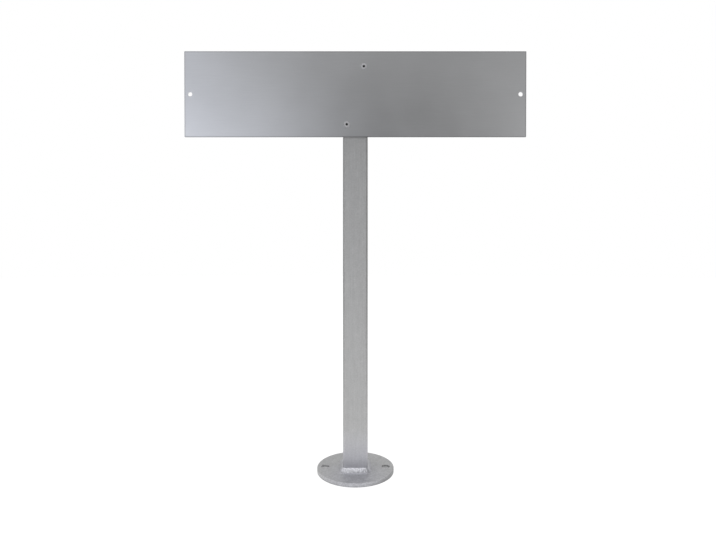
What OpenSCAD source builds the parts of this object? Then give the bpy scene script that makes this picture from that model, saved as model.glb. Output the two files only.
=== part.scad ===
// Sign stand: a square steel post welded to a round foot plate, with a flat aluminium panel held
// to its front by two blind rivets.
// Sizes are in millimetres. The origin is the centre of the foot plate, on the ground.
// +Z is up, +X is to the right, and the panel faces -Y.

/* [Overall] */
// Height from the ground to the top edge of the panel
stand_h = 648; // [450:1:1000]

/* [Foot plate] */
// Diameter of the foot plate
plate_d = 120; // [114:1:200]
// Thickness of the foot plate
plate_t = 6; // [4:1:12]
// Chamfer along the upper and lower rim of the foot plate
plate_chamfer = 0.6; // [0.2:0.1:1.5]
// Number of anchor holes in the foot plate
anchor_count = 2; // [2:2:4]
// Diameter of the circle on which the anchor holes lie
anchor_pcd = 95; // [75:1:100]
// Diameter of an anchor hole
anchor_hole_d = 12.5; // [8:0.5:16]
// Diameter of the vent hole under the tube, which lets zinc and rain out
vent_hole_d = 12; // [6:1:20]

/* [Post tube] */
// Outer width of the square tube
tube_w = 38; // [35:1:50]
// Wall thickness of the tube
tube_wall = 2; // [1.5:0.5:3]
// Radius of the tube's corners inside
tube_inner_r = 1; // [0.5:0.5:3]
// Distance from the top edge of the panel down to the end of the tube
tube_top_drop = 5; // [4:1:30]

/* [Foot weld] */
// Length of each leg of the fillet weld, along the tube and along the plate
weld_leg = 5.5; // [3:0.5:8]
// Height of the weld's crown over the straight line between its toes
weld_crown = 0.3; // [0.1:0.1:1.2]

/* [Sign panel] */
// Width of the panel
panel_w = 520; // [200:5:800]
// Height of the panel
panel_h = 130; // [90:5:300]
// Thickness of the panel's sheet
panel_t = 2; // [1:0.5:4]
// Radius at the panel's four corners
panel_corner_r = 0.8; // [0.4:0.2:5]
// Diameter of the hole for a sign at each end of the panel
sign_hole_d = 6.5; // [4:0.5:8]
// Distance from the end of the panel to the centre of its hole
sign_hole_inset = 8.5; // [6:0.5:30]

/* [Blind rivets] */
// Diameter of the rivet's shank
rivet_d = 4.8; // [4:0.2:6]
// Space between the shank and its hole, all round
rivet_fit = 0.05; // [0.02:0.01:0.2]
// Diameter of the rivet's head
rivet_head_d = 9.5; // [8:0.5:12]
// Thickness of the head at its crown
rivet_head_t = 1.5; // [1.2:0.1:2.2]
// Thickness of the head at its rim
rivet_rim_t = 0.4; // [0.2:0.1:0.8]
// Diameter of the folded tail behind the tube wall
rivet_tail_d = 6.8; // [6.2:0.2:8]
// Radius of the fold, seen in section
rivet_fold_r = 1.7; // [1.5:0.1:2]
// Depth to which the fold is pressed flat on the tube wall
rivet_fold_flat = 0.3; // [0.1:0.1:0.6]
// Length of the whole tail behind the tube wall
rivet_tail_len = 5.2; // [4.5:0.1:9]
// Distance from the bottom edge of the panel up to the lower rivet
rivet_bottom_inset = 19; // [8:1:40]
// Space between a rivet's tail and the side wall of the tube
rivet_side_gap = 0.6; // [0.2:0.1:6]
// Space between the upper rivet's tail and the plug above it
rivet_plug_gap = 2.6; // [0.5:0.1:20]

/* [Rivet mandrels] */
// Diameter of the mandrel's pin
mandrel_d = 2.9; // [2.2:0.1:3.2]
// Space between the pin and the rivet's bore, all round
mandrel_fit = 0.05; // [0.02:0.01:0.1]
// Depth of the broken end of the pin under the crown of the rivet's head
mandrel_recess = 1.3; // [0.5:0.1:3]
// Diameter of the broken end, where the pin was necked to snap
mandrel_neck_d = 1.8; // [1:0.1:2]
// Length over which the pin narrows to its broken end
mandrel_neck_len = 0.7; // [0.4:0.1:1]
// Diameter of the mandrel's head
mandrel_head_d = 4; // [3.6:0.1:4.2]
// Length of the mandrel's head
mandrel_head_len = 2.4; // [1.8:0.1:4]
// Depth of the mandrel's head inside the end of the tail
mandrel_seat = 0.9; // [0.5:0.1:1.5]

/* [Post cap] */
// Thickness of the cap's head round its dome
cap_rim_t = 2.8; // [2:0.2:6]
// Radius of the rounded upper edge of the cap's head
cap_edge_r = 1.2; // [0.4:0.1:1.5]
// Height of the shallow dome on the cap's head
cap_dome_rise = 1.2; // [0.4:0.1:1.5]
// Diameter of the dome
cap_dome_d = 30; // [20:1:31]
// Length of the plug inside the tube
cap_plug_len = 12; // [8:1:30]
// Wall thickness of the hollow plug
cap_wall = 1.8; // [1.2:0.2:3]
// Space between the tips of the plug's fins and the tube, all round
cap_fit = 0.1; // [0.05:0.05:0.3]
// Distance that the fins stand out from the plug's wall
cap_fin_reach = 1.7; // [1:0.1:2.5]
// Distance from one fin to the next
cap_fin_pitch = 3.4; // [2.5:0.1:6]
// Thickness of a fin at its root
cap_fin_root_t = 1.1; // [0.8:0.1:1.4]
// Thickness of a fin at its tip
cap_fin_tip_t = 0.5; // [0.3:0.1:0.8]
// Rise of the fin's tip, bent up as the plug is pushed in
cap_fin_rise = 0.8; // [0.2:0.1:1]
// Chamfer that leads the plug into the tube
cap_lead_in = 0.8; // [0.4:0.1:1.1]

/* [Hidden] */

$fn = 64;
// Extra length that carries a cut clear of the surface it opens
cut_over = 1;

// Post
tube_corner_r = tube_inner_r + tube_wall;
tube_flat = tube_w - 2 * tube_corner_r;
tube_top_z = stand_h - tube_top_drop;
tube_len = tube_top_z - plate_t;
bore_w = tube_w - 2 * tube_wall;

// Weld section: the circle through both toes that rises weld_crown over the line between them
weld_half_chord = weld_leg / sqrt(2);
weld_arc_r = (pow(weld_half_chord, 2) + pow(weld_crown, 2)) / (2 * weld_crown);
weld_arc_centre = (weld_half_chord + weld_crown - weld_arc_r) / sqrt(2);

// Panel
panel_front_y = -(tube_w / 2 + panel_t);
panel_mid_z = stand_h - panel_h / 2;
sign_hole_x = panel_w / 2 - sign_hole_inset;

// Rivets: one beside each side wall of the tube, the upper one on the right
rivet_hole_d = rivet_d + 2 * rivet_fit;
rivet_grip = panel_t + tube_wall;
rivet_end = rivet_grip + rivet_tail_len;
rivet_x = bore_w / 2 - rivet_tail_d / 2 - rivet_side_gap;
upper_rivet_z = tube_top_z - cap_plug_len - rivet_plug_gap - rivet_tail_d / 2;
lower_rivet_z = stand_h - panel_h + rivet_bottom_inset;
UPPER_RIVET = [rivet_x, upper_rivet_z];
LOWER_RIVET = [-rivet_x, lower_rivet_z];
RIVETS = [UPPER_RIVET, LOWER_RIVET];

// Rivet head: the sphere that passes over the crown and through the upper edge of the rim
head_rise = rivet_head_t - rivet_rim_t;
head_dome_r = (pow(rivet_head_d / 2, 2) + pow(head_rise, 2)) / (2 * head_rise);

// Cap head: the sphere that rises over the head and passes through the rim of the dome
cap_head_t = cap_rim_t + cap_dome_rise;
cap_dome_r = (pow(cap_dome_d / 2, 2) + pow(cap_dome_rise, 2)) / (2 * cap_dome_rise);

// Plug
plug_w = bore_w - 2 * (cap_fit + cap_fin_reach);
fin_w = bore_w - 2 * cap_fit;
fin_count = floor((cap_plug_len - cap_lead_in - cap_fin_root_t) / cap_fin_pitch);

// Square with round corners, centred on the origin
module rounded_square(width, corner_r) {
    straight = width - 2 * corner_r;
    square([straight, width], center = true);
    square([width, straight], center = true);
    for (x = [-1, 1], y = [-1, 1])
        translate([x * straight / 2, y * straight / 2]) circle(r = corner_r);
}

// Places a shape on the front of the panel: its Z points to the viewer, and its XY plane is the front
module on_panel_front(place) {
    translate([place[0], panel_front_y, place[1]]) rotate([90, 0, 0]) children();
}

module base_plate() {
    color("darkgray") difference() {
        rotate_extrude($fn = 96) polygon([
            [0, 0],
            [plate_d / 2 - plate_chamfer, 0],
            [plate_d / 2, plate_chamfer],
            [plate_d / 2, plate_t - plate_chamfer],
            [plate_d / 2 - plate_chamfer, plate_t],
            [0, plate_t],
        ]);
        for (i = [0 : anchor_count - 1])
            rotate([0, 0, i * 360 / anchor_count])
                translate([anchor_pcd / 2, 0, -cut_over])
                    cylinder(d = anchor_hole_d, h = plate_t + 2 * cut_over);
        translate([0, 0, -cut_over]) cylinder(d = vent_hole_d, h = plate_t + 2 * cut_over);
    }
}

module post_tube() {
    color("silver") difference() {
        translate([0, 0, plate_t]) linear_extrude(tube_len) difference() {
            rounded_square(tube_w, tube_corner_r);
            rounded_square(bore_w, tube_inner_r);
        }
        for (place = RIVETS)
            on_panel_front(place)
                translate([0, 0, -rivet_grip - cut_over])
                    cylinder(d = rivet_hole_d, h = rivet_grip + 2 * cut_over);
    }
}

// Sweeps a section round the tube: X runs out from the centre of the tube's corner, and Y runs up
module swept_round_tube() {
    for (turn = [0 : 90 : 270])
        rotate([0, 0, turn]) translate([tube_flat / 2, tube_flat / 2, 0]) {
            rotate([90, 0, 0]) linear_extrude(tube_flat) children();
            rotate_extrude(angle = 90) children();
        }
}

// Section of the weld: X runs out from the tube's face, and Y runs up from the plate
module weld_section() {
    intersection() {
        square(weld_leg);
        translate([weld_arc_centre, weld_arc_centre]) circle(r = weld_arc_r, $fn = 96);
    }
}

module foot_weld() {
    color("gainsboro") translate([0, 0, plate_t])
        swept_round_tube() translate([tube_corner_r, 0]) weld_section();
}

// Runs an outline through the tube's bore, from its front wall to its back wall
module through_bore() {
    translate([0, bore_w / 2, 0]) rotate([90, 0, 0]) linear_extrude(bore_w) children();
}

// Outline of the plug seen from one side: a straight core with a fin at each pitch
module plug_profile() {
    core = plug_w / 2;
    tip = fin_w / 2;
    polygon([
        [-core, 0],
        [-core, cap_lead_in - cap_plug_len],
        [cap_lead_in - core, -cap_plug_len],
        [core - cap_lead_in, -cap_plug_len],
        [core, cap_lead_in - cap_plug_len],
        [core, 0],
    ]);
    for (i = [1 : fin_count], side = [0, 1])
        mirror([side, 0]) translate([0, -i * cap_fin_pitch]) polygon([
            [core - cap_wall / 2, 0],
            [core, 0],
            [tip, cap_fin_rise],
            [tip, cap_fin_rise + cap_fin_tip_t],
            [core, cap_fin_root_t],
            [core - cap_wall / 2, cap_fin_root_t],
        ]);
}

// Section of the cap's head over the tube's corner, rounded at its upper edge
module cap_rim_section() {
    square([tube_corner_r, cap_rim_t - cap_edge_r]);
    square([tube_corner_r - cap_edge_r, cap_rim_t]);
    translate([tube_corner_r - cap_edge_r, cap_rim_t - cap_edge_r]) circle(r = cap_edge_r);
}

module post_cap() {
    color("dimgray") translate([0, 0, tube_top_z]) {
        swept_round_tube() cap_rim_section();
        linear_extrude(cap_rim_t) square(tube_flat, center = true);
        intersection() {
            cylinder(d = tube_w - 2 * cap_edge_r, h = cap_head_t);
            translate([0, 0, cap_head_t - cap_dome_r]) sphere(r = cap_dome_r, $fn = 128);
        }
        difference() {
            intersection() {
                through_bore() plug_profile();
                rotate([0, 0, 90]) through_bore() plug_profile();
                translate([0, 0, -cap_plug_len])
                    linear_extrude(cap_plug_len) rounded_square(fin_w, tube_inner_r);
            }
            translate([0, 0, -cap_plug_len - cut_over])
                linear_extrude(cap_plug_len + cut_over)
                    rounded_square(plug_w - 2 * cap_wall, tube_inner_r);
        }
    }
}

module sign_panel() {
    straight_w = panel_w - 2 * panel_corner_r;
    straight_h = panel_h - 2 * panel_corner_r;
    color("lightsteelblue") difference() {
        on_panel_front([0, panel_mid_z]) translate([0, 0, -panel_t]) linear_extrude(panel_t) {
            square([straight_w, panel_h], center = true);
            square([panel_w, straight_h], center = true);
            for (x = [-1, 1], y = [-1, 1])
                translate([x * straight_w / 2, y * straight_h / 2]) circle(r = panel_corner_r);
        }
        for (side = [-1, 1])
            on_panel_front([side * sign_hole_x, panel_mid_z])
                translate([0, 0, -panel_t - cut_over])
                    cylinder(d = sign_hole_d, h = panel_t + 2 * cut_over);
        for (place = RIVETS)
            on_panel_front(place)
                translate([0, 0, -panel_t - cut_over])
                    cylinder(d = rivet_hole_d, h = panel_t + 2 * cut_over);
    }
}

// Set rivet: a domed head on the panel, a shank through panel and tube, and a folded tail behind
module rivet_body(place) {
    bore_d = mandrel_d + 2 * mandrel_fit;
    socket_d = mandrel_head_d + 2 * mandrel_fit;
    color("lightgray") on_panel_front(place) difference() {
        union() {
            intersection() {
                cylinder(d = rivet_head_d, h = rivet_head_t);
                translate([0, 0, rivet_head_t - head_dome_r]) sphere(r = head_dome_r);
            }
            translate([0, 0, -rivet_end]) cylinder(d = rivet_d, h = rivet_end);
            rotate_extrude() intersection() {
                translate([rivet_tail_d / 2 - rivet_fold_r, rivet_fold_flat - rivet_fold_r - rivet_grip])
                    circle(r = rivet_fold_r);
                translate([0, -rivet_end]) square([rivet_tail_d, rivet_tail_len]);
            }
        }
        translate([0, 0, -rivet_end - cut_over])
            cylinder(d = bore_d, h = rivet_end + rivet_head_t + 2 * cut_over);
        translate([0, 0, -rivet_end - cut_over])
            cylinder(d = socket_d, h = mandrel_seat + cut_over);
    }
}

// Broken-off mandrel: its head sits in the end of the tail, and its pin ends inside the rivet's head
module rivet_mandrel(place) {
    pin_end = rivet_head_t - mandrel_recess;
    head_start = mandrel_seat - rivet_end;
    head_end = head_start - mandrel_head_len;
    head_taper = mandrel_head_len / 3;
    color("slategray") on_panel_front(place) rotate_extrude() polygon([
        [0, pin_end],
        [mandrel_neck_d / 2, pin_end],
        [mandrel_d / 2, pin_end - mandrel_neck_len],
        [mandrel_d / 2, head_start],
        [mandrel_head_d / 2, head_start],
        [mandrel_head_d / 2, head_end + head_taper],
        [mandrel_d / 2, head_end],
        [0, head_end],
    ]);
}

base_plate();
post_tube();
foot_weld();
post_cap();
sign_panel();
rivet_body(UPPER_RIVET);  // upper_rivet_body
rivet_body(LOWER_RIVET);  // lower_rivet_body
rivet_mandrel(UPPER_RIVET);  // upper_rivet_mandrel
rivet_mandrel(LOWER_RIVET);  // lower_rivet_mandrel
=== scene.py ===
"""Looks of a sign stand: a square post on a round foot plate, with a flat panel riveted to it.

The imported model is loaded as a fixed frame. The foot plate, the weld, the panel and the two rivets
are modelled again here with the edges, ripples and tool marks of the real ones. The post tube and
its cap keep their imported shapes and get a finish. Lengths are in metres unless a name says otherwise.
"""

from __future__ import annotations

import logging
import math
from collections.abc import Callable, Iterable, Sequence
from dataclasses import dataclass
from enum import Enum

import bmesh
import bpy
from mathutils import Matrix, Vector, noise


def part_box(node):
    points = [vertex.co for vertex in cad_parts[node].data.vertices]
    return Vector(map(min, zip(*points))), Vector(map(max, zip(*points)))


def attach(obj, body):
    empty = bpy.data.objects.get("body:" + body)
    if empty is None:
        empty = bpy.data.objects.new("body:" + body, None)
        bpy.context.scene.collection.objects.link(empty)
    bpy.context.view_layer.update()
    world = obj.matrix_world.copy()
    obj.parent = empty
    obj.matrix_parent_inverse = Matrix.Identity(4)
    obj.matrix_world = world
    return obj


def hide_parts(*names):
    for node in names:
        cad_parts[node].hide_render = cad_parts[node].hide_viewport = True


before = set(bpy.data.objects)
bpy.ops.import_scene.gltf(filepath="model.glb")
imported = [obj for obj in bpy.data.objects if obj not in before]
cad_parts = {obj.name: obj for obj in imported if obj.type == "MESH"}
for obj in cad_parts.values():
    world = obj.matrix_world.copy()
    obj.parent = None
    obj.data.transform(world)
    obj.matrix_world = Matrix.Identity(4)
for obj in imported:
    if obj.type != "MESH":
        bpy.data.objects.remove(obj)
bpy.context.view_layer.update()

LOG = logging.getLogger("sign_stand")
MM = 0.001
MERGE = 0.001 * MM
TINY = 1e-9
QUARTER_TURN = math.pi / 2
BODY = "root"
PHOTO_WIDTH_PX = 716
SENSOR_MM = 36.0

Colour = tuple[float, float, float]
Place = tuple[float, float, float]
Span = tuple[float, float]
Socket = bpy.types.NodeSocket

ORIGIN: Place = (0.0, 0.0, 0.0)
UNSCALED: Place = (1.0, 1.0, 1.0)
FLAT_ALONG_Y: Place = (1.0, 0.0, 1.0)
WHITE: Colour = (1.0, 1.0, 1.0)
COOL: Colour = (0.984, 0.984, 1.05)

# Parts of a noise texture's range over which a tone or a roughness changes
WIDE: Span = (0.3, 0.7)
NARROW: Span = (0.35, 0.65)


class Grain(Enum):
    """Direction in which a finish is drawn out, as the scale of its pattern along X, Y and Z."""

    ALONG_X = (0.012, 1.0, 1.0)
    ALONG_Z = (1.0, 1.0, 0.03)
    NONE = (1.0, 1.0, 1.0)


class RivetPlace(Enum):
    """Place of a rivet on the panel, as the word that starts the names of its nodes and pieces."""

    UPPER = "upper"
    LOWER = "lower"


def neutral(tone: float) -> Colour:
    """Gives the grey of a tone."""
    return (tone, tone, tone)


class NodeGraph:
    """Adds and links the shader nodes of one material or world."""

    def __init__(self, owner: bpy.types.Material | bpy.types.World) -> None:
        """Empties the owner's graph.

        Args:
            owner: Material or world.
        """
        owner.use_nodes = True
        self.owner = owner
        self.nodes = owner.node_tree.nodes
        self.links = owner.node_tree.links
        self.nodes.clear()

    @classmethod
    def of_material(cls, name: str) -> NodeGraph:
        """Starts the graph of a new material with this name."""
        return cls(bpy.data.materials.new(name))

    def add(self, kind: str, inputs: dict, **settings: object) -> bpy.types.Node:
        """Adds one node.

        Args:
            kind: Blender's name for the node's type.
            inputs: For each input, by name or number, the socket to link or the value to write.
            **settings: The node's own properties.

        Returns:
            The new node.
        """
        node = self.nodes.new(kind)
        for key, value in settings.items():
            setattr(node, key, value)
        for key, value in inputs.items():
            if isinstance(value, Socket):
                self.links.new(value, node.inputs[key])
            else:
                node.inputs[key].default_value = value
        return node

    def place(self, scale: Sequence[float] = UNSCALED, centre: Sequence[float] = ORIGIN) -> Socket:
        """Reads the object's coordinates, centred on a point and scaled.

        Args:
            scale: Scale along X, Y and Z.
            centre: Point that becomes the origin of the pattern.

        Returns:
            The socket with the coordinates.
        """
        coordinates = self.add("ShaderNodeTexCoord", {}).outputs["Object"]
        offset = [-c * s for c, s in zip(centre, scale)]
        mapping = {"Vector": coordinates, "Location": offset, "Scale": scale}
        return self.add("ShaderNodeMapping", mapping).outputs["Vector"]

    def noise(self, vector: Socket, per_metre: float, detail: float = 3.0, rough: float = 0.55) -> Socket:
        """Adds a noise texture.

        Args:
            vector: Coordinates to read.
            per_metre: Number of features in a metre.
            detail: Number of finer layers.
            rough: Strength of the finer layers.

        Returns:
            The socket with the noise, from 0 to 1.
        """
        inputs = {"Vector": vector, "Scale": per_metre, "Detail": detail, "Roughness": rough}
        return self.add("ShaderNodeTexNoise", inputs).outputs["Fac"]

    def remap(self, value: Socket, start: Span, end: Sequence[float | Socket]) -> Socket:
        """Maps a value from one range to another, held at the ends.

        Args:
            value: Socket to read.
            start: The two values read.
            end: Values given for them, as numbers or sockets.

        Returns:
            The socket with the new value.
        """
        inputs = {"Value": value, "From Min": start[0], "From Max": start[1]}
        inputs |= {"To Min": end[0], "To Max": end[1]}
        return self.add("ShaderNodeMapRange", inputs).outputs["Result"]

    def tint(self, colour: Socket | Colour, factor: Socket) -> Socket:
        """Multiplies a colour by a grey value or by another colour.

        Args:
            colour: Colour, or the socket with it.
            factor: Socket with the value or the colour to multiply by.

        Returns:
            The socket with the product.
        """
        first = (*colour, 1.0) if isinstance(colour, tuple) else colour
        inputs = {0: 1.0, 6: first, 7: factor}
        return self.add("ShaderNodeMix", inputs, data_type="RGBA", blend_type="MULTIPLY").outputs[2]

    def vary(self, colour: Socket | Colour, pattern: Socket, share: float, span: Span = WIDE) -> Socket:
        """Darkens and lightens a colour by a pattern.

        Args:
            colour: Colour, or the socket with it.
            pattern: Socket with the pattern, from 0 to 1.
            share: The most that the colour changes, as a share of it.
            span: Part of the pattern's range over which it changes.

        Returns:
            The socket with the varied colour.
        """
        return self.tint(colour, self.remap(pattern, span, (1.0 - share, 1.0 + share)))

    def bump(self, height: Socket, strength: float, depth: float, under: Socket | None = None) -> Socket:
        """Adds a bump.

        Args:
            height: Socket with the height, from 0 to 1.
            strength: Strength of the bump, from 0 to 1.
            depth: Height of the bump in metres.
            under: Socket with the normal that the bump is laid over.

        Returns:
            The socket with the normal.
        """
        inputs = {"Height": height, "Strength": strength, "Distance": depth}
        if under is not None:
            inputs["Normal"] = under
        return self.add("ShaderNodeBump", inputs).outputs["Normal"]

    def is_seen(self) -> Socket:
        """Tells the rays that show a surround from the rays that only light the stand.

        Returns:
            The socket that is 1 for camera, glossy and transmission rays.
        """
        rays = self.add("ShaderNodeLightPath", {}).outputs
        first = {0: rays["Is Camera Ray"], 1: rays["Is Glossy Ray"]}
        either = self.add("ShaderNodeMath", first, operation="MAXIMUM").outputs[0]
        second = {0: either, 1: rays["Is Transmission Ray"]}
        return self.add("ShaderNodeMath", second, operation="MAXIMUM").outputs[0]

    def close(self, shader: Socket) -> bpy.types.Material:
        """Links the shader to the material's output.

        Args:
            shader: Socket with the shader.

        Returns:
            The finished material.
        """
        self.add("ShaderNodeOutputMaterial", {"Surface": shader})
        return self.owner


@dataclass(frozen=True)
class RoundZone:
    """Change of a coat's tone round an upright axis, which can come in over a range of heights.

    The tone goes from the inside one to the outside one between two radii. With a squeeze the zone is
    that many times narrower along Y than along X. The hue is multiplied in, inside the zone only. The
    zones were set to the photograph's tones. Each zone that changes the tone paints light or shade
    into the coat at a fixed place on the object.
    """

    centre: Place
    inner: float
    outer: float
    tone_inside: float = 1.0
    tone_outside: float = 1.0
    heights: Span = (-1.0, 0.0)
    squeeze: float = 1.0
    hue: Colour = WHITE


def whole_width(tone: float, heights: Span, hue: Colour = WHITE) -> RoundZone:
    """Gives a zone that takes in the whole width of the stand.

    Args:
        tone: Tone of the zone.
        heights: Heights at which the zone has no effect and its full effect.
        hue: Hue of the zone.

    Returns:
        The zone.
    """
    beyond_stand = {"inner": 1.0, "outer": 2.0}
    return RoundZone(ORIGIN, **beyond_stand, tone_inside=tone, heights=heights, hue=hue)


@dataclass(frozen=True)
class ZincCoat:
    """Silver-grey zinc coat on steel: faint spangle, fine orange peel and long drawing marks."""

    name: str
    colour: Colour
    zones: tuple[RoundZone, ...] = ()
    roughness: float = 0.43
    roughness_swing: float = 0.05
    metallic: float = 0.68
    grain: Grain = Grain.NONE
    spangle_per_metre: float = 150.0
    spangle_span: Span = (0.2, 0.8)
    spangle_tone: float = 0.055
    grit_per_metre: float = 420.0
    grit_tone: float = 0.09
    peel_per_metre: float = 1100.0
    peel_depth: float = 0.035 * MM
    peel_strength: float = 0.35
    peel_tones: Span = (0.96, 1.03)
    mark_per_metre: float = 520.0
    mark_strength: float = 0.15
    mark_tone: float = 0.045
    wear_per_metre: float = 420.0

    def material(self) -> bpy.types.Material:
        """Builds the material.

        Returns:
            The material.
        """
        graph = NodeGraph.of_material(self.name)
        place = graph.place()
        wear = graph.noise(place, self.wear_per_metre, detail=2.0)
        cells = {"Vector": place, "Scale": self.spangle_per_metre, "Randomness": 1.0}
        spangle = graph.add("ShaderNodeTexVoronoi", cells, feature="SMOOTH_F1").outputs["Color"]
        grey = graph.add("ShaderNodeRGBToBW", {"Color": spangle}).outputs["Val"]
        peel = graph.noise(place, self.peel_per_metre, detail=4.0, rough=0.6)
        marks = graph.noise(graph.place(self.grain.value), self.mark_per_metre)
        grit = graph.noise(place, self.grit_per_metre, detail=2.0, rough=0.7)
        tone = graph.tint(self.colour, graph.remap(grey, self.spangle_span, (1.0 - self.spangle_tone, 1.0)))
        tone = graph.vary(tone, marks, self.mark_tone)
        tone = graph.tint(tone, graph.remap(peel, NARROW, self.peel_tones))
        tone = graph.vary(tone, grit, self.grit_tone)
        # Painted light and shade of the zones, at fixed places on the object; cool hues only tint
        for zone in self.zones:
            tone = graph.tint(tone, self.zone_tone(graph, zone))
        swing = self.roughness_swing
        rough = graph.remap(wear, NARROW, (self.roughness - swing, self.roughness + swing))
        relief = graph.bump(peel, self.peel_strength, self.peel_depth)
        relief = graph.bump(marks, self.mark_strength, self.peel_depth, under=relief)
        inputs = {"Base Color": tone, "Roughness": rough, "Metallic": self.metallic, "Normal": relief}
        return graph.close(graph.add("ShaderNodeBsdfPrincipled", inputs).outputs["BSDF"])

    def zone_tone(self, graph: NodeGraph, zone: RoundZone) -> Socket:
        """Works out the tone and hue that a zone gives.

        Args:
            graph: Graph of the material.
            zone: The zone.

        Returns:
            The socket with the colour to multiply by.
        """
        offset = graph.place((1.0, zone.squeeze, 0.0), zone.centre)
        reach = graph.add("ShaderNodeVectorMath", {0: offset}, operation="LENGTH").outputs["Value"]
        edge = (zone.inner, zone.outer)
        tone = graph.remap(reach, edge, (zone.tone_inside, zone.tone_outside))
        inside = graph.remap(reach, edge, (1.0, 0.0))
        height = graph.add("ShaderNodeSeparateXYZ", {0: graph.place()}).outputs["Z"]
        tone = graph.remap(height, zone.heights, (1.0, tone))
        share = graph.remap(height, zone.heights, (0.0, inside))
        hues = {0: share, 6: (*WHITE, 1.0), 7: (*zone.hue, 1.0)}
        return graph.tint(graph.add("ShaderNodeMix", hues, data_type="RGBA").outputs[2], tone)


@dataclass(frozen=True)
class AnodisedSheet:
    """Satin anodised aluminium sheet with its fine rolling grain, darker towards its outline."""

    name: str
    colour: Colour
    middle: Place
    half: Place
    edge_tone: float = 0.52
    edge_reach: float = 1.8 * MM
    roughness: float = 0.3
    roughness_swing: float = 0.02
    grain: Grain = Grain.ALONG_X
    grain_per_metre: float = 3600.0
    grain_strength: float = 0.2
    grain_tone: float = 0.03
    grain_depth: float = 0.012 * MM
    etch_per_metre: float = 2600.0
    etch_strength: float = 0.12
    cloud_per_metre: float = 11.0
    cloud_tone: float = 0.015

    def material(self) -> bpy.types.Material:
        """Builds the material.

        Returns:
            The material.
        """
        graph = NodeGraph.of_material(self.name)
        place = graph.place()
        grain = graph.noise(graph.place(self.grain.value), self.grain_per_metre, detail=3.0, rough=0.6)
        etch = graph.noise(place, self.etch_per_metre, detail=2.0)
        cloud = graph.noise(place, self.cloud_per_metre, detail=2.0)
        tone = graph.vary(self.colour, grain, self.grain_tone)
        tone = graph.vary(tone, cloud, self.cloud_tone, NARROW)
        tone = graph.tint(tone, self.outline_darkening(graph))
        swing = self.roughness_swing
        rough = graph.remap(cloud, WIDE, (self.roughness - swing, self.roughness + swing))
        relief = graph.bump(grain, self.grain_strength, self.grain_depth)
        relief = graph.bump(etch, self.etch_strength, self.grain_depth, under=relief)
        inputs = {"Base Color": tone, "Roughness": rough, "Metallic": 1.0, "Normal": relief}
        return graph.close(graph.add("ShaderNodeBsdfPrincipled", inputs).outputs["BSDF"])

    def outline_darkening(self, graph: NodeGraph) -> Socket:
        """Works out the tone that darkens the sheet towards its outline.

        Args:
            graph: Graph of the material.

        Returns:
            The socket with the tone.
        """
        offset = {0: graph.place(centre=self.middle)}
        outward = graph.add("ShaderNodeVectorMath", offset, operation="ABSOLUTE")
        inputs = {0: outward.outputs["Vector"], 1: self.half}
        past = graph.add("ShaderNodeVectorMath", inputs, operation="SUBTRACT")
        parts = graph.add("ShaderNodeSeparateXYZ", {0: past.outputs["Vector"]}).outputs
        nearest = graph.add("ShaderNodeMath", {0: parts["X"], 1: parts["Z"]}, operation="MAXIMUM")
        return graph.remap(nearest.outputs[0], (-self.edge_reach, 0.0), (1.0, self.edge_tone))


@dataclass(frozen=True)
class PressedMetal:
    """Bare metal of a set rivet or its pin: the tool's rings round its axis, and painted shade round the
    bore.
    """

    name: str
    colour: Colour
    centre: Place
    roughness: float = 0.3
    smoother: float = 0.06
    rougher: float = 0.08
    metallic: float = 1.0
    ring_scale: float = 533.333
    ring_distortion: float = 1.2
    ring_detail: float = 1.5
    ring_strength: float = 0.25
    ring_depth: float = 0.01 * MM
    pit_per_metre: float = 2400.0
    pit_strength: float = 0.3
    pit_tone: float = 0.06
    bore_shade_r: float = 1.75 * MM
    bore_shade_fade: float = 0.2 * MM
    bore_shade_tone: float = 1.0

    def material(self) -> bpy.types.Material:
        """Builds the material.

        Returns:
            The material.
        """
        graph = NodeGraph.of_material(self.name)
        place = graph.place(FLAT_ALONG_Y, self.centre)
        waves = {"Vector": place, "Scale": self.ring_scale}
        waves |= {"Distortion": self.ring_distortion, "Detail": self.ring_detail}
        rings = graph.add("ShaderNodeTexWave", waves, wave_type="RINGS", rings_direction="SPHERICAL")
        pits = graph.noise(graph.place(), self.pit_per_metre)
        tone = graph.vary(self.colour, pits, self.pit_tone)
        reach = graph.add("ShaderNodeVectorMath", {0: place}, operation="LENGTH").outputs["Value"]
        # Painted shade round the bore: darker within a radius of the axis
        edge = (self.bore_shade_r, self.bore_shade_r + self.bore_shade_fade)
        tone = graph.tint(tone, graph.remap(reach, edge, (self.bore_shade_tone, 1.0)))
        rough = graph.remap(pits, NARROW, (self.roughness - self.smoother, self.roughness + self.rougher))
        relief = graph.bump(rings.outputs["Fac"], self.ring_strength, self.ring_depth)
        relief = graph.bump(pits, self.pit_strength, self.ring_depth, under=relief)
        inputs = {"Base Color": tone, "Roughness": rough, "Metallic": self.metallic, "Normal": relief}
        return graph.close(graph.add("ShaderNodeBsdfPrincipled", inputs).outputs["BSDF"])


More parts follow.
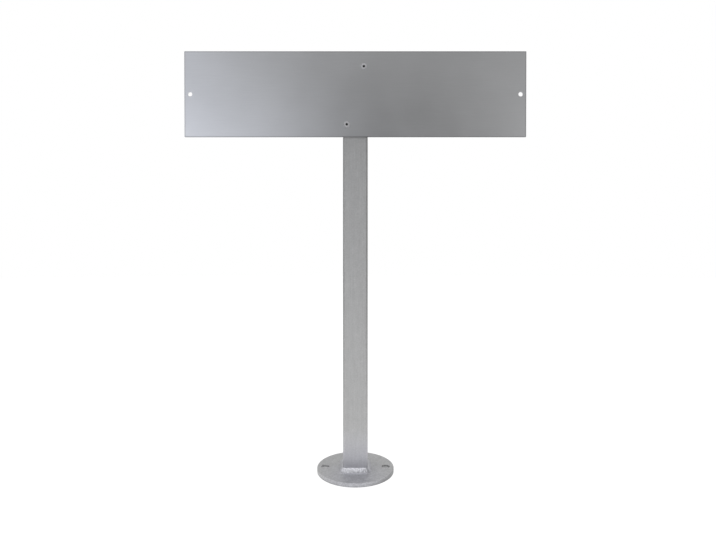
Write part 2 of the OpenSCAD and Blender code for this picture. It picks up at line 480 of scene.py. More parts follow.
@dataclass(frozen=True)
class MouldedPlastic:
    """Matt black plastic with the spark-eroded texture of its mould."""

    name: str
    colour: Colour
    roughness: float = 0.52
    smoother: float = 0.06
    rougher: float = 0.1
    texture_per_metre: float = 1800.0
    texture_strength: float = 0.4
    texture_depth: float = 0.03 * MM
    dust_per_metre: float = 90.0
    dust_span: Span = (0.35, 0.7)
    dust_tones: Span = (0.9, 1.35)

    def material(self) -> bpy.types.Material:
        """Builds the material.

        Returns:
            The material.
        """
        graph = NodeGraph.of_material(self.name)
        place = graph.place()
        texture = graph.noise(place, self.texture_per_metre, detail=4.0, rough=0.65)
        dust = graph.noise(place, self.dust_per_metre, detail=4.0)
        tone = graph.tint(self.colour, graph.remap(dust, self.dust_span, self.dust_tones))
        rough = graph.remap(dust, WIDE, (self.roughness - self.smoother, self.roughness + self.rougher))
        relief = graph.bump(texture, self.texture_strength, self.texture_depth)
        inputs = {"Base Color": tone, "Roughness": rough, "Normal": relief}
        return graph.close(graph.add("ShaderNodeBsdfPrincipled", inputs).outputs["BSDF"])


def add_piece(
    mesh: bmesh.types.BMesh,
    name: str,
    finish: bpy.types.Material,
    nodes: Sequence[str],
    crease_deg: float = 40.0,
) -> bpy.types.Object:
    """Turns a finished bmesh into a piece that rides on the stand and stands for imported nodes.

    Args:
        mesh: The modelled shape, in place. It is freed.
        name: Name of the piece.
        finish: Material of the piece.
        nodes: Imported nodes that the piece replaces.
        crease_deg: Edges sharper than this stay sharp in shading.

    Returns:
        The new object.
    """
    bmesh.ops.recalc_face_normals(mesh, faces=mesh.faces)
    data = bpy.data.meshes.new(name)
    mesh.to_mesh(data)
    mesh.free()
    data.shade_smooth()
    data.set_sharp_from_angle(angle=math.radians(crease_deg))
    data.materials.append(finish)
    piece = bpy.data.objects.new(name, data)
    bpy.context.scene.collection.objects.link(piece)
    piece.modifiers.new("flat_faces_first", "WEIGHTED_NORMAL").keep_sharp = True
    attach(piece, BODY)
    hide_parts(*nodes)
    LOG.info("%s: %d faces, in place of %s", name, len(data.polygons), ", ".join(nodes))
    return piece


def dress_node(node: str, finish: bpy.types.Material) -> None:
    """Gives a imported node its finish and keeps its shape.

    Args:
        node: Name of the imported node.
        finish: Material that its slots get.
    """
    for material_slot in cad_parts[node].material_slots:
        material_slot.material = finish
    LOG.info("%s: packed shape, finish %s", node, finish.name)


def add_circle(mesh: bmesh.types.BMesh, centre: Place, radius: float, segments: int) -> None:
    """Adds an open circle in the XY plane.

    Args:
        mesh: Mesh to add to.
        centre: Centre of the circle.
        radius: Radius of the circle.
        segments: Number of its edges.
    """
    at = Matrix.Translation(centre)
    bmesh.ops.create_circle(mesh, cap_ends=False, segments=segments, radius=radius, matrix=at)


def fill_and_raise(mesh: bmesh.types.BMesh, thickness: float) -> None:
    """Fills the outline in a mesh round its holes, and raises it into a plate.

    Args:
        mesh: Mesh with the closed outlines, all at one height.
        thickness: Thickness of the plate, along +Z.
    """
    bmesh.ops.triangle_fill(mesh, use_beauty=True, use_dissolve=False, edges=mesh.edges[:])
    raised = bmesh.ops.extrude_face_region(mesh, geom=mesh.faces[:])["geom"]
    top = [item for item in raised if isinstance(item, bmesh.types.BMVert)]
    bmesh.ops.translate(mesh, verts=top, vec=(0.0, 0.0, thickness))
    bmesh.ops.recalc_face_normals(mesh, faces=mesh.faces)


def round_edges(
    mesh: bmesh.types.BMesh, radius: float, segments: int, chosen: Callable[[Vector], bool]
) -> None:
    """Rounds the sharp edges whose middle is chosen.

    Args:
        mesh: Mesh to change.
        radius: Distance over which an edge is rounded.
        segments: Number of faces across the rounding.
        chosen: Says for the middle of an edge whether it is rounded.
    """
    least_angle = math.radians(60)
    edges = []
    for edge in mesh.edges:
        middle = (edge.verts[0].co + edge.verts[1].co) / 2
        if edge.calc_face_angle(0.0) > least_angle and chosen(middle):
            edges.append(edge)
    bmesh.ops.bevel(
        mesh,
        geom=edges,
        offset=radius,
        offset_type="OFFSET",
        affect="EDGES",
        segments=segments,
        profile=0.5,
        clamp_overlap=True,
        material=-1,
    )


@dataclass
class FootPlate:
    """Round steel plate with two anchor holes and a vent hole, its edges softened."""

    anchor_pitch: float = 95 * MM
    anchor_d: float = 12.5 * MM
    vent_d: float = 12 * MM
    rim_round: float = 0.6 * MM
    rim_steps: int = 4
    rim_segments: int = 192
    hole_round: float = 0.6 * MM
    hole_steps: int = 3
    hole_segments: int = 64
    colour: Colour = (0.361, 0.362, 0.365)
    # Painted light on the rim's front; painted shade on its right side, its lower front right and its foot
    front_rim_painted_light: float = 1.3
    right_rim_painted_shade: float = 0.74
    low_rim_painted_shade: float = 0.84
    rim_foot_painted_shade: float = 0.8
    # Painted shade on the walls of the holes, and painted light low down on them
    bore_painted_shades: tuple[float, float, float] = (0.9, 0.8, 0.8)
    bore_edge: float = 0.15 * MM
    bore_fade: float = 0.2 * MM
    low_wall_painted_light: float = 2.0
    low_wall_heights: Span = (3.4 * MM, 2.2 * MM)
    # Painted light on the plate in front of the weld, in toe_light and front_light; front_cool only tints
    toe_light: RoundZone = RoundZone((-1.5 * MM, -24.5 * MM, 0.0), 16 * MM, 26 * MM, 1.45, squeeze=4.0)
    front_cool: RoundZone = RoundZone((0.0, -35 * MM, 0.0), 15 * MM, 60 * MM, hue=COOL)
    front_light: RoundZone = RoundZone((0.0, -40 * MM, 0.0), 14 * MM, 26 * MM, 1.04)

    def shape(self) -> bmesh.types.BMesh:
        """Models the plate.

        Returns:
            The shape.
        """
        low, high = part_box("base_plate")
        radius = high.y
        mesh = bmesh.new()
        add_circle(mesh, (0.0, 0.0, low.z), radius, self.rim_segments)
        for x, diameter in self.holes():
            add_circle(mesh, (x, 0.0, low.z), diameter / 2, self.hole_segments)
        fill_and_raise(mesh, high.z - low.z)
        half_way = (radius + self.anchor_pitch / 2 + self.anchor_d / 2) / 2
        round_edges(mesh, self.rim_round, self.rim_steps, lambda middle: middle.xy.length > half_way)
        round_edges(mesh, self.hole_round, self.hole_steps, lambda middle: middle.xy.length < half_way)
        return mesh

    def holes(self) -> Iterable[tuple[float, float]]:
        """Gives the holes through the plate.

        Returns:
            Place along X and diameter of each hole, from left to right.
        """
        return (
            (-self.anchor_pitch / 2, self.anchor_d),
            (0.0, self.vent_d),
            (self.anchor_pitch / 2, self.anchor_d),
        )

    def rim_zones(self) -> list[RoundZone]:
        """Gives the zones at the rim, with middles moved so that each takes in its part of the rim.

        Returns:
            The painted light on the front, and the painted shade on the right side, on the lower part at
            the front right and on the foot all round.
        """
        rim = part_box("base_plate")[1].y
        front = {"centre": (0.2 * MM, 1.2 * MM, 0.0), "inner": rim + 0.1 * MM, "outer": rim + 0.7 * MM}
        right = {"centre": (-1.6 * MM, -0.1 * MM, 0.0), "inner": rim + 0.5 * MM, "outer": rim + 1.2 * MM}
        low = {"centre": (-1.1 * MM, 1.1 * MM, 0.0), "inner": rim + 1.3 * MM, "outer": rim + 1.6 * MM}
        foot = {"centre": ORIGIN, "inner": rim - 0.4 * MM, "outer": rim - 0.2 * MM}
        return [
            RoundZone(**front, tone_outside=self.front_rim_painted_light),
            RoundZone(**right, tone_outside=self.right_rim_painted_shade),
            RoundZone(**low, tone_outside=self.low_rim_painted_shade, heights=(4.6 * MM, 3.4 * MM)),
            RoundZone(**foot, tone_outside=self.rim_foot_painted_shade, heights=(2.6 * MM, 1.0 * MM)),
        ]

    def hole_zones(self) -> list[RoundZone]:
        """Gives the zones on the walls of the holes: painted shade, and painted light low down.

        Returns:
            Two zones for each hole.
        """
        zones = []
        for (x, diameter), bore_tone in zip(self.holes(), self.bore_painted_shades):
            wall = diameter / 2 + self.bore_edge
            bore = {"centre": (x, 0.0, 0.0), "inner": wall, "outer": wall + self.bore_fade}
            zones.append(RoundZone(**bore, tone_inside=bore_tone))
            low_wall = {"tone_inside": self.low_wall_painted_light, "heights": self.low_wall_heights}
            zones.append(RoundZone(**bore, **low_wall))
        return zones

    def build(self) -> None:
        """Models and dresses the plate."""
        top_zones = [self.toe_light, self.front_cool, self.front_light]
        zones = tuple(self.rim_zones() + top_zones + self.hole_zones())
        coat = ZincCoat("zinc_on_plate", self.colour, zones, roughness=0.47, metallic=0.38, grit_tone=0.22)
        add_piece(self.shape(), "foot_disc", coat.material(), ["base_plate"])


@dataclass
class FootWeld:
    """Fillet weld round the tube, laid as one bead to a side, with ripples and a wandering toe."""

    leg: float = 5.5 * MM
    crown: float = 0.3 * MM
    tube_corner: float = 3 * MM
    section_points: int = 12
    run_steps: int = 132
    turn_steps: int = 22
    ripple_pitch: float = 1.6 * MM
    ripple_height: float = 0.012
    ripple_mean: float = 0.6
    ripple_bow: float = 1.5 * MM
    drift: float = 0.4
    drift_pitch: float = 5 * MM
    drift_seed: float = 3.0
    toe_wander: float = 0.11
    wander_pitch: float = 5.5 * MM
    wander_across: float = 1.3
    wander_seed: float = 7.0
    blob_pitch: float = 6.4 * MM
    blob_height: float = 0.035
    blob_drift: float = 0.5
    lap_height: float = 0.05
    lap_length: float = 2.6 * MM
    colour: Colour = (0.446, 0.448, 0.479)
    # Painted shade on the side and back beads and at the front bead's right end; painted highlight at its
    # left end
    side_shade: RoundZone = RoundZone((0.0, -39.5 * MM, 0.0), 27 * MM, 33 * MM, tone_outside=0.8)
    start_light: RoundZone = RoundZone((-18.6 * MM, -20.4 * MM, 0.0), 1.0 * MM, 3.4 * MM, tone_inside=1.6)
    stop_shade: RoundZone = RoundZone((17.0 * MM, -22.4 * MM, 0.0), 1.6 * MM, 3.8 * MM, tone_inside=0.68)

    def __post_init__(self) -> None:
        """Reads the tube's half width and the plate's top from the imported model."""
        self.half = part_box("post_tube")[1].x
        self.flat = self.half - self.tube_corner
        self.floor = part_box("base_plate")[1].z
        self.side_length = 2 * self.flat + self.tube_corner * QUARTER_TURN

    def section(self, mesh: bmesh.types.BMesh) -> list:
        """Draws the closed section at the start of the first side.

        Args:
            mesh: Mesh to draw in.

        Returns:
            The vertices and edges of the section.
        """
        half_chord = self.leg / math.sqrt(2)
        arc_r = (half_chord**2 + self.crown**2) / (2 * self.crown)
        centre = (half_chord + self.crown - arc_r) / math.sqrt(2)
        toe_angle = math.asin(-centre / arc_r)
        points = [(0.0, 0.0)]
        for i in range(self.section_points):
            angle = toe_angle + (QUARTER_TURN - 2 * toe_angle) * i / (self.section_points - 1)
            points.append((centre + arc_r * math.cos(angle), centre + arc_r * math.sin(angle)))
        verts = [mesh.verts.new((self.half + u, -self.flat, self.floor + v)) for u, v in points]
        edges = [mesh.edges.new((verts[i - 1], verts[i])) for i in range(len(verts))]
        return verts + edges

    def shape(self) -> bmesh.types.BMesh:
        """Sweeps the section round the tube and works the bead's surface.

        Returns:
            The shape.
        """
        mesh = bmesh.new()
        last = self.section(mesh)
        for side in range(4):
            turned = Matrix.Rotation(side * QUARTER_TURN, 3, "Z")
            step = turned @ Vector((0.0, 2 * self.flat / self.run_steps, 0.0))
            corner = turned @ Vector((self.flat, self.flat, 0.0))
            run = {"geom": last, "cent": (0, 0, 0), "axis": (0, 0, 1), "angle": 0.0}
            last = bmesh.ops.spin(mesh, dvec=step, steps=self.run_steps, **run)["geom_last"]
            turn = {"geom": last, "cent": corner, "axis": (0, 0, 1), "angle": QUARTER_TURN}
            last = bmesh.ops.spin(mesh, steps=self.turn_steps, **turn)["geom_last"]
        bmesh.ops.remove_doubles(mesh, verts=mesh.verts, dist=MERGE)
        for vert in mesh.verts:
            self.work(vert)
        return mesh

    def work(self, vert: bmesh.types.BMVert) -> None:
        """Moves one vertex of the swept bead away from the root, or towards it.

        Args:
            vert: Vertex to move.
        """
        turn = round(math.atan2(vert.co.y, vert.co.x) / QUARTER_TURN)
        back = Matrix.Rotation(-turn * QUARTER_TURN, 3, "Z")
        local = back @ vert.co
        if abs(local.y) > self.flat:
            centre = Vector((self.flat, math.copysign(self.flat, local.y)))
            arm = local.xy - centre
            out, swing = arm.length - self.tube_corner, math.atan2(arm.y, arm.x)
            along = math.copysign(self.flat, local.y) + swing * self.tube_corner
            foot = centre + arm.normalized() * self.tube_corner
        else:
            out, along = local.x - self.half, local.y
            foot = Vector((self.half, local.y))
        rise = local.z - self.floor
        share = self.reach((turn + 3) % 4, along, out, rise)
        place = foot + (local.xy - foot) * share
        moved = Vector((place.x, place.y, self.floor + rise * share))
        vert.co = back.transposed() @ moved

    def reach(self, side: int, along: float, out: float, rise: float) -> float:
        """Works out how far the bead stands out at a point, as a share of the plain section.

        Args:
            side: Side of the tube in the order of welding, 0 to 3, which starts behind the post.
            along: Distance along the side from its middle.
            out: Distance from the tube.
            rise: Height over the plate.

        Returns:
            The share.
        """
        across = math.atan2(rise, max(out, TINY)) / QUARTER_TURN
        travel = side * self.side_length + along
        bow = self.ripple_bow * (1 - (2 * across - 1) ** 2)
        drift = self.drift * noise.noise(Vector((travel / self.drift_pitch, self.drift_seed, 0.0)))
        phase = (travel + bow) / self.ripple_pitch + drift
        ripple = abs(math.sin(math.pi * phase)) - self.ripple_mean
        spot = (travel / self.wander_pitch, across * self.wander_across, self.wander_seed)
        wander = noise.noise(Vector(spot))
        past_start = (along - self.lap_length) % self.side_length - self.side_length / 2
        lap = math.exp(-((past_start / self.lap_length) ** 2))
        blob = math.sin(2 * math.pi * (travel / self.blob_pitch + self.blob_drift * drift))
        middle = 1 - abs(2 * across - 1) ** 3
        raised = self.ripple_height * ripple + self.blob_height * blob
        return 1 + raised * middle + self.toe_wander * wander + self.lap_height * lap

    def build(self) -> None:
        """Models and dresses the weld."""
        zones = (self.side_shade, self.start_light, self.stop_shade)
        coat = ZincCoat("zinc_on_weld", self.colour, zones, roughness=0.34, metallic=0.6)
        add_piece(self.shape(), "foot_bead", coat.material(), ["foot_weld"], crease_deg=60.0)


@dataclass
class SignPanel:
    """Flat aluminium sheet with punched holes, its edges eased on the front and back."""

    corner: float = 0.8 * MM
    corner_steps: int = 5
    hole_inset: float = 8.5 * MM
    hole_d: float = 6.5 * MM
    hole_segments: int = 48
    rivet_hole_d: float = 4.9 * MM
    edge_round: float = 0.25 * MM
    hole_round: float = 0.3 * MM
    round_steps: int = 3
    colour: Colour = (0.60, 0.605, 0.615)

    def outline(self, mesh: bmesh.types.BMesh, width: float, height: float) -> None:
        """Draws the panel's outline with its round corners, centred on the origin.

        Args:
            mesh: Mesh to draw in.
            width: Width of the panel.
            height: Height of the panel.
        """
        bmesh.ops.create_grid(mesh, x_segments=1, y_segments=1, size=0.5)
        bmesh.ops.scale(mesh, vec=(width, height, 1.0), verts=mesh.verts)
        corners = {"geom": mesh.verts[:], "offset": self.corner, "affect": "VERTICES"}
        bmesh.ops.bevel(mesh, segments=self.corner_steps, profile=0.5, material=-1, **corners)
        bmesh.ops.delete(mesh, geom=mesh.faces[:], context="FACES_ONLY")

    def shape(self, rivets: Sequence[Vector]) -> bmesh.types.BMesh:
        """Models the panel.

        Args:
            rivets: Centres of the rivets.

        Returns:
            The shape.
        """
        low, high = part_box("sign_panel")
        middle = (low + high) / 2
        size = high - low
        mesh = bmesh.new()
        self.outline(mesh, size.x, size.z)
        for side in (-1, 1):
            hole = (side * (size.x / 2 - self.hole_inset), 0.0, 0.0)
            add_circle(mesh, hole, self.hole_d / 2, self.hole_segments)
        for rivet in rivets:
            hole = (rivet.x - middle.x, rivet.z - middle.z, 0.0)
            add_circle(mesh, hole, self.rivet_hole_d / 2, self.hole_segments)
        fill_and_raise(mesh, size.y)
        side_x = size.x / 2 - self.corner
        side_y = size.z / 2 - self.corner
        steps = self.round_steps
        round_edges(mesh, self.edge_round, steps, lambda m: abs(m.x) > side_x or abs(m.y) > side_y)
        round_edges(mesh, self.hole_round, steps, lambda m: abs(m.x) < side_x and abs(m.y) < side_y)
        upright = Matrix.Translation((middle.x, high.y, middle.z)) @ Matrix.Rotation(QUARTER_TURN, 4, "X")
        bmesh.ops.transform(mesh, matrix=upright, verts=mesh.verts)
        return mesh

    def build(self, rivets: Sequence[Vector]) -> None:
        """Models and dresses the panel.

        Args:
            rivets: Centres of the rivets.
        """
        low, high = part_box("sign_panel")
        middle, half = tuple((low + high) / 2), tuple((high - low) / 2)
        finish = AnodisedSheet("anodised_panel", self.colour, middle, half).material()
        add_piece(self.shape(rivets), "sign_sheet", finish, ["sign_panel"])


@dataclass
class BlindRivet:
    """Set blind rivet: domed head, bore, shank and folded tail, with its broken-off mandrel inside.

    The rim's points are millimetres in from the head's edge and up from the panel. The tip's points
    are shares of the neck's radius and millimetres down from the tip.
    """

    place: RivetPlace
    head_r: float = 4.75 * MM
    head_t: float = 1.5 * MM
    rim_t: float = 0.4 * MM
    rim_ease: float = 0.2 * MM
    rim_points: tuple[Span, ...] = ((0.05, 0.34), (0.0, 0.2), (0.04, 0.05), (0.15, 0.0))
    nose_r: float = 2.75 * MM
    nose_depth: float = 0.12 * MM
    nose_step: float = 0.1 * MM
    lip: float = 0.18 * MM
    lip_bulge: float = 0.3
    bore_r: float = 1.5 * MM
    shank_r: float = 2.4 * MM
    grip: float = 4 * MM
    fold_r: float = 1.7 * MM
    fold_flat: float = 0.3 * MM
    tail_r: float = 3.4 * MM
    tail_len: float = 5.2 * MM
    tail_ease: Span = (0.12 * MM, 0.15 * MM)
    socket_r: float = 2.05 * MM
    socket_depth: float = 0.9 * MM
    pin_r: float = 1.45 * MM
    pin_recess: float = 1.3 * MM
    neck_r: float = 0.9 * MM
    neck_len: float = 0.7 * MM
    tip_points: tuple[Span, ...] = ((0.0, 0.12), (0.35, 0.1), (0.7, 0.02), (1.0, 0.0), (1.06, 0.12))
    break_depth: float = 0.2 * MM
    break_height: float = 0.08 * MM
    break_grain: float = 0.35 * MM
    pin_head_r: float = 2 * MM
    pin_head_len: float = 2.4 * MM
    pin_head_ease: Span = (0.3 * MM, 0.06 * MM)
    dome_steps: int = 8
    fold_steps: int = 12
    turns: int = 56
    head_colour: Colour = (0.365, 0.365, 0.375)
    head_metallic: float = 0.4
    # Painted shade round the bore of the head
    head_bore_shade: float = 0.1
    # The mandrel's dark steel, made near-black as painted shade deep in the bore
    pin_colour_and_shade: Colour = (0.03, 0.03, 0.031)
    roughness: float = 0.6

    def __post_init__(self) -> None:
        """Reads the rivet's centre on the panel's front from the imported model."""
        low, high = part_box(self.place.value + "_rivet_body")
        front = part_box("sign_panel")[0].y
        self.centre = Vector(((low.x + high.x) / 2, front, (low.z + high.z) / 2))

    def dome(self, radius: float) -> float:
        """Works out the height of the head's dome.

        Args:
            radius: Distance from the axis.

        Returns:
            The height over the panel there.
        """
        rise = self.head_t - self.rim_t
        dome_r = (self.head_r**2 + rise**2) / (2 * rise)
        return self.head_t - dome_r + math.sqrt(dome_r**2 - radius**2)

    def body_profile(self) -> list[tuple[float, float]]:
        """Gives the closed profile of the rivet's body.

        Returns:
            Radius and height of each point, with heights counted outwards from the panel's front.
        """
        nose = self.dome(self.nose_r) - self.nose_depth
        bulge = self.lip_bulge * self.lip
        points = [(self.bore_r, nose - self.lip), (self.bore_r + bulge, nose - bulge)]
        points += [(self.bore_r + self.lip, nose), (self.nose_r - self.nose_step, nose)]
        points.append((self.nose_r, self.dome(self.nose_r)))
        for i in range(1, self.dome_steps + 1):
            radius = self.nose_r + (self.head_r - self.rim_ease - self.nose_r) * i / self.dome_steps
            points.append((radius, self.dome(radius)))
        points += [(self.head_r - inwards * MM, height * MM) for inwards, height in self.rim_points]
        points += [(self.shank_r, 0.0), (self.shank_r, -self.grip)]
        centre_r = self.tail_r - self.fold_r
        centre_z = self.fold_flat - self.fold_r - self.grip
        start = math.asin(-(self.fold_flat - self.fold_r) / self.fold_r)
        stop = -math.acos((self.shank_r - centre_r) / self.fold_r)
        for i in range(self.fold_steps + 1):
            angle = start + (stop - start) * i / self.fold_steps
            radius = centre_r + self.fold_r * math.cos(angle)
            points.append((radius, centre_z + self.fold_r * math.sin(angle)))
        end = -self.grip - self.tail_len
        inwards, along = self.tail_ease
        points += [(self.shank_r, end + along), (self.shank_r - inwards, end), (self.socket_r, end)]
        points += [(self.socket_r, end + self.socket_depth), (self.bore_r, end + self.socket_depth)]
        return points

    def pin_profile(self) -> list[tuple[float, float]]:
        """Gives the open profile of the mandrel, from axis to axis.

        Returns:
            Radius and height of each point, with heights counted outwards from the panel's front.
        """
        tip = self.head_t - self.pin_recess
        seat = self.socket_depth - self.grip - self.tail_len
        end = seat - self.pin_head_len
        taper = self.pin_head_len / 3
        inwards, along = self.pin_head_ease
        points = [(share * self.neck_r, tip - depth * MM) for share, depth in self.tip_points]
        points += [(self.pin_r, tip - self.neck_len), (self.pin_r, seat)]
        points += [(self.pin_head_r, seat), (self.pin_head_r, end + taper)]
        return points + [(self.pin_r, end + along), (self.pin_r - inwards, end), (0.0, end)]

    def turned(self, profile: Sequence[tuple[float, float]], closed: bool) -> bmesh.types.BMesh:
        """Spins a profile round the rivet's axis.

        Args:
            profile: Radius and height of each point.
            closed: Whether the last point joins the first.

        Returns:
            The shape, in place.
        """
        mesh = bmesh.new()
        verts = [mesh.verts.new((self.centre.x + r, self.centre.y - z, self.centre.z)) for r, z in profile]
        edges = [mesh.edges.new(pair) for pair in zip(verts, verts[1:])]
        if closed:
            edges.append(mesh.edges.new((verts[-1], verts[0])))
        spin = {"geom": verts + edges, "cent": self.centre, "axis": (0, 1, 0), "angle": 2 * math.pi}
        bmesh.ops.spin(mesh, steps=self.turns, use_merge=True, **spin)
        bmesh.ops.remove_doubles(mesh, verts=mesh.verts, dist=MERGE)
        return mesh

    def roughen_break(self, mesh: bmesh.types.BMesh) -> None:
        """Makes the broken end of the mandrel uneven.

        Args:
            mesh: The mandrel's shape.
        """
        tip = self.centre.y - (self.head_t - self.pin_recess)
        for vert in mesh.verts:
            if vert.co.y < tip + self.break_depth:
                vert.co.y += self.break_height * noise.noise(vert.co / self.break_grain)

    def build(self) -> None:
        """Models and dresses the rivet's body and its mandrel."""
        place = self.place.value
        common = {"centre": tuple(self.centre), "roughness": self.roughness}
        head = {"metallic": self.head_metallic, "bore_shade_tone": self.head_bore_shade}
        alloy = PressedMetal(place + "_rivet_metal", self.head_colour, **common, **head).material()
        body = self.turned(self.body_profile(), closed=True)
        add_piece(body, place + "_rivet_set", alloy, [place + "_rivet_body"])
        steel = PressedMetal(place + "_pin_metal", self.pin_colour_and_shade, **common).material()
        pin = self.turned(self.pin_profile(), closed=False)
        self.roughen_break(pin)
        add_piece(pin, place + "_rivet_pin", steel, [place + "_rivet_mandrel"])


@dataclass
class Post:
    """Square tube and the cap in its top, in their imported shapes."""

    tube_corner: float = 3 * MM
    tube_colour: Colour = (0.439, 0.439, 0.438)
    cap_colour: Colour = (0.028, 0.028, 0.029)
    # Painted shade at the corners and at the top under the panel, painted light at the foot; foot_cool only
    # tints
    corner_painted_shade: float = 0.66
    corner_fade: float = 0.5 * MM
    corner_heights: Span = (40 * MM, 290 * MM)
    foot_light: RoundZone = whole_width(1.135, (84 * MM, 48 * MM))
    foot_cool: RoundZone = whole_width(1.0, (75 * MM, 30 * MM), COOL)
    top_shade: RoundZone = whole_width(0.92, (430 * MM, 510 * MM))

    def build(self) -> None:
        """Dresses the cap, and the tube: painted shade at its corners and top, painted light at its foot.
        """
        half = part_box("post_tube")[1].x
        flat_end = math.hypot(half, half - self.tube_corner)
        corner = {"inner": flat_end, "outer": flat_end + self.corner_fade, "heights": self.corner_heights}
        corners = RoundZone(ORIGIN, **corner, tone_outside=self.corner_painted_shade)
        zones = (corners, self.foot_light, self.foot_cool, self.top_shade)
        coat = ZincCoat("zinc_on_tube", self.tube_colour, zones, grain=Grain.ALONG_Z)
        dress_node("post_tube", coat.material())
        dress_node("post_cap", MouldedPlastic("cap_plastic", self.cap_colour).material())


@dataclass(frozen=True)
class Softbox:
    """Square or oblong studio lamp, aimed at a point on the stand."""

    name: str
    at: Place
    aim: Place
    width: float
    height: float
    watts: float
    colour: Colour = WHITE

    def build(self) -> None:
        """Adds the lamp, unseen by the camera."""
        data = bpy.data.lights.new(self.name, "AREA")
        data.shape = "RECTANGLE"
        data.size, data.size_y = self.width, self.height
        data.energy, data.color = self.watts, self.colour
        lamp = bpy.data.objects.new(self.name, data)
        lamp.location = self.at
        aim = Vector(self.aim) - Vector(self.at)
        lamp.rotation_euler = aim.to_track_quat("-Z", "Y").to_euler()
        lamp.visible_camera = False
        bpy.context.scene.collection.objects.link(lamp)


@dataclass(frozen=True)
class ToneCard:
    """Curved grey card on an arc round the stand, seen only in the metal's reflections."""

    name: str
    start_deg: float
    end_deg: float
    near: tuple[float, float]
    far: tuple[float, float]
    tone: Colour
    steps: int = 24

    def build(self) -> None:
        """Adds the card: a straight edge, from radius and height near to far, swept round the stand."""
        graph = NodeGraph.of_material(self.name)
        glow = graph.add("ShaderNodeEmission", {"Color": (*self.tone, 1.0), "Strength": 1.0})
        turned = Matrix.Rotation(math.radians(self.start_deg), 3, "Z")
        mesh = bmesh.new()
        ends = [mesh.verts.new(turned @ Vector((0.0, -radius, z))) for radius, z in (self.near, self.far)]
        edge = mesh.edges.new(ends)
        sweep = math.radians(self.end_deg - self.start_deg)
        spin = {"cent": ORIGIN, "axis": (0, 0, 1), "angle": sweep, "steps": self.steps}
        bmesh.ops.spin(mesh, geom=[*ends, edge], **spin)
        card = add_stage(mesh, self.name, graph.close(glow.outputs[0]))
        card.visible_camera = card.visible_diffuse = card.visible_shadow = False


def add_stage(mesh: bmesh.types.BMesh, name: str, finish: bpy.types.Material) -> bpy.types.Object:
    """Adds a part of the set that isn't part of the stand.

    Args:
        mesh: Its shape. It is freed.
        name: Its name.
        finish: Its material.

    Returns:
        The new object.
    """
    data = bpy.data.meshes.new(name)
    mesh.to_mesh(data)
    mesh.free()
    data.materials.append(finish)
    item = bpy.data.objects.new(name, data)
    bpy.context.scene.collection.objects.link(item)
    return item


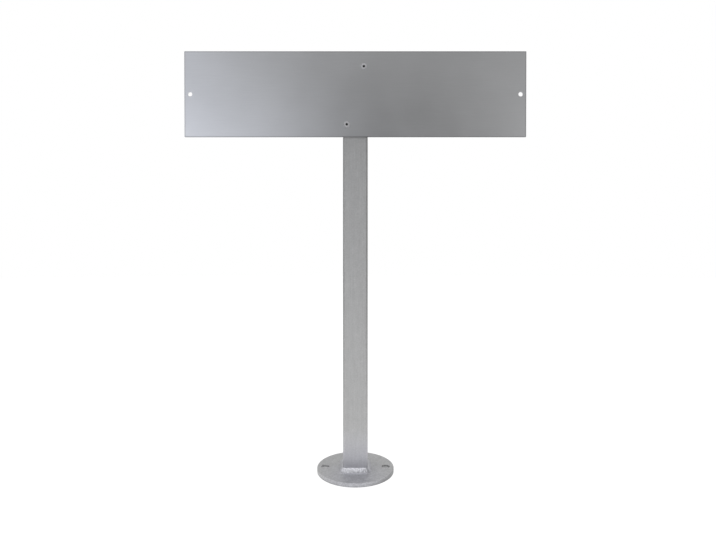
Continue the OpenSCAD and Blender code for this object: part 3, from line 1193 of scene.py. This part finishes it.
@dataclass
class Studio:
    """Pale floor, white surround, grey cards beside and behind the camera, lamps and camera.

    The ambient level, the lamps' watts and the cards' tones are the rounded results of a
    least-squares fit to the brightness of the panel, post and plate in the photograph. The hues, and
    the tones of both nearly left, both right, the upper centre and the high centre cards, were then
    set one by one. The camera's place, pitch and focal length come from a least-squares fit to the edges
    of the panel, the post and the foot plate.
    """

    floor_radius: float = 14.0
    floor_segments: int = 96
    floor_tone: float = 0.80
    floor_glow: float = 0.85
    shadow_tone: float = 0.22
    paper_per_metre: float = 30.0
    paper_tones: Span = (0.985, 1.0)
    ambient: float = 0.85
    card_radius: float = 3.2
    over_radius: float = 1.3
    card_low: float = 0.75
    card_middle: float = 1.15
    card_split: float = 1.6
    card_top: float = 3.8
    side_deg: float = 110.0
    flank_deg: float = 50.0
    nearly_left_deg: float = -22.0
    centre_left_deg: float = -8.0
    centre_right_deg: float = 19.0
    high_right_deg: float = 22.0
    cool_light: Colour = (0.96, 0.98, 1.05)
    camera_at: Place = (4.04 * MM, -754 * MM, 322.1 * MM)
    camera_pitch_deg: float = 0.514
    focal_px: float = 480.3

    def floor(self) -> None:
        """Adds the floor: white to the eye, with the stand's soft shadow."""
        graph = NodeGraph.of_material("studio_floor")
        paper = graph.noise(graph.place(), self.paper_per_metre, detail=2.0)
        shade = graph.remap(paper, WIDE, self.paper_tones)
        matt = graph.add("ShaderNodeBsdfDiffuse", {"Color": graph.tint(neutral(self.floor_tone), shade)})
        thin = graph.add("ShaderNodeBsdfDiffuse", {"Color": graph.tint(neutral(self.shadow_tone), shade)})
        white = {"Color": (*WHITE, 1.0), "Strength": self.floor_glow}
        glow = graph.add("ShaderNodeEmission", white)
        pale = graph.add("ShaderNodeAddShader", {0: thin.outputs[0], 1: glow.outputs[0]})
        inputs = {0: graph.is_seen(), 1: matt.outputs[0], 2: pale.outputs[0]}
        finish = graph.close(graph.add("ShaderNodeMixShader", inputs).outputs[0])
        mesh = bmesh.new()
        size = {"segments": self.floor_segments, "radius": self.floor_radius}
        bmesh.ops.create_circle(mesh, cap_ends=True, **size)
        add_stage(mesh, "studio_floor", finish)

    def cards(self) -> Sequence[ToneCard]:
        """Gives the cards.

        Returns:
            The cards from the left round to the right, then the one overhead.
        """
        heights = (0.0, self.card_low, self.card_middle, self.card_split, self.card_top)
        low, lower, middle, split, top = ((self.card_radius, z) for z in heights)
        over = (self.over_radius, self.card_top)
        side, flank, nearly = self.side_deg, self.flank_deg, self.nearly_left_deg
        left, right, high_right = self.centre_left_deg, self.centre_right_deg, self.high_right_deg
        return (
            ToneCard("card_left_side", -side, -flank, low, split, (0.38, 0.385, 0.39)),
            ToneCard("card_left_side_high", -side, -flank, split, top, WHITE),
            ToneCard("card_left_low", -flank, nearly, low, split, (0.81, 0.84, 0.92)),
            ToneCard("card_left_high", -flank, nearly, split, top, (0.85, 0.87, 0.935)),
            ToneCard("card_nearly_left_low", nearly, left, low, split, (0.915, 0.94, 1.005)),
            ToneCard("card_centre_low", left, right, low, lower, neutral(0.31)),
            ToneCard("card_centre", left, right, lower, middle, neutral(0.19)),
            ToneCard("card_centre_upper", left, right, middle, split, neutral(0.11)),
            ToneCard("card_nearly_left_high", nearly, left, split, top, neutral(0.455)),
            ToneCard("card_centre_high", left, high_right, split, top, neutral(0.415)),
            ToneCard("card_right_low", right, flank, low, split, neutral(0.65)),
            ToneCard("card_right_high", high_right, flank, split, top, neutral(0.45)),
            ToneCard("card_right_side", flank, side, low, top, neutral(0.36)),
            ToneCard("card_over", -180, 180, top, over, neutral(0.32)),
        )

    def surround(self) -> None:
        """Makes the world white where it is seen, and a plain soft grey where it only lights."""
        world = bpy.data.worlds.new("surround")
        graph = NodeGraph(world)
        strength = graph.add("ShaderNodeMapRange", {"Value": graph.is_seen(), "To Min": self.ambient})
        white = {"Color": (*WHITE, 1.0), "Strength": strength.outputs["Result"]}
        glow = graph.add("ShaderNodeBackground", white)
        graph.add("ShaderNodeOutputWorld", {"Surface": glow.outputs[0]})
        bpy.context.scene.world = world

    def camera(self) -> None:
        """Adds the camera at the photograph's viewing angle."""
        data = bpy.data.cameras.new("camera")
        data.sensor_width = SENSOR_MM
        data.lens = self.focal_px / PHOTO_WIDTH_PX * SENSOR_MM
        camera = bpy.data.objects.new("camera", data)
        camera.location = self.camera_at
        camera.rotation_euler = (math.radians(90 - self.camera_pitch_deg), 0.0, 0.0)
        bpy.context.scene.collection.objects.link(camera)
        bpy.context.scene.camera = camera

    def lamps(self) -> Sequence[Softbox]:
        """Gives the lamps.

        Returns:
            One overhead, a cool one low on the left and a weak one on the right.
        """
        floor = (0.0, -0.7, 0.0)
        post = (0.0, 0.0, 0.4)
        cool = {"watts": 5.85, "colour": self.cool_light}
        return (
            Softbox("overhead", at=(0.0, -0.7, 3.2), aim=floor, width=1.4, height=3.4, watts=31.0),
            Softbox("left", at=(-1.7, -2.4, 0.5), aim=post, width=1.3, height=1.3, **cool),
            Softbox("right", at=(2.2, -1.8, 1.2), aim=post, width=1.2, height=1.6, watts=3.35),
        )

    def build(self) -> None:
        """Sets up the whole studio."""
        self.floor()
        self.surround()
        for item in (*self.cards(), *self.lamps()):
            item.build()
        self.camera()
        bpy.context.scene.view_settings.view_transform = "Standard"
        LOG.info("studio: %d cards and %d lamps", len(self.cards()), len(self.lamps()))


def main() -> None:
    """Builds the stand's sub-assemblies in order, then the studio."""
    logging.basicConfig(level=logging.INFO, format="%(message)s")
    rivets = [BlindRivet(place) for place in RivetPlace]
    FootPlate().build()
    Post().build()
    FootWeld().build()
    SignPanel().build([rivet.centre for rivet in rivets])
    for rivet in rivets:
        rivet.build()
    Studio().build()


if __name__ == "__main__":
    main()
